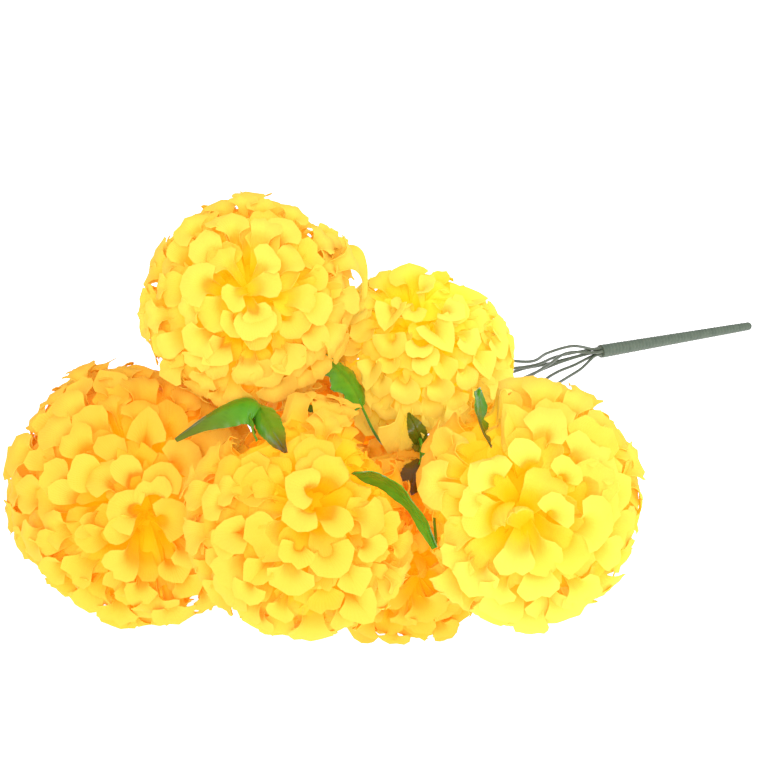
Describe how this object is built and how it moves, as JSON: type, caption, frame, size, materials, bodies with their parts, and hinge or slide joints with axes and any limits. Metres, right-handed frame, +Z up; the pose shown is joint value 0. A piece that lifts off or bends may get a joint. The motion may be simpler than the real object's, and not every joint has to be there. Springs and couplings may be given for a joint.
{
  "type": "artificial chrysanthemum bouquet",
  "caption": "Artificial chrysanthemum bouquet lying on its side, ball-shaped yellow cloth flower heads on coated wires gathered into a tape-wrapped handle.",
  "frame": {"origin": "middle of the bouquet's box, on the surface it lies on", "axes": "+X from the flower heads towards the handle's tip, +Z up"},
  "size_m": [0.5346, 0.3193, 0.2114],
  "materials": {
    "petal_cloth": "pressed cloth, soft matte",
    "calyx_plastic": "moulded, matte",
    "leaf_plastic": "glossy, thin",
    "wire_coat": "satin coat on wire",
    "stem_tape": "stretched wrap, matte"
  },
  "bodies": {
    "root": {"handle": "stem_tape", "bloom_a": "petal_cloth", "calyx_a": "calyx_plastic", "stem_a": "wire_coat", "leaf_a": "leaf_plastic", "bloom_b": "petal_cloth", "calyx_b": "calyx_plastic", "stem_b": "wire_coat", "leaf_b": "leaf_plastic", "bloom_c": "petal_cloth", "calyx_c": "calyx_plastic", "stem_c": "wire_coat", "leaf_c": "leaf_plastic", "bloom_d": "petal_cloth", "calyx_d": "calyx_plastic", "stem_d": "wire_coat", "leaf_d": "leaf_plastic", "bloom_e": "petal_cloth", "calyx_e": "calyx_plastic", "stem_e": "wire_coat", "leaf_e": "leaf_plastic", "bloom_f": "petal_cloth", "calyx_f": "calyx_plastic", "stem_f": "wire_coat", "bloom_g": "petal_cloth", "calyx_g": "calyx_plastic", "stem_g": "wire_coat"}
  },
  "joints": []
}
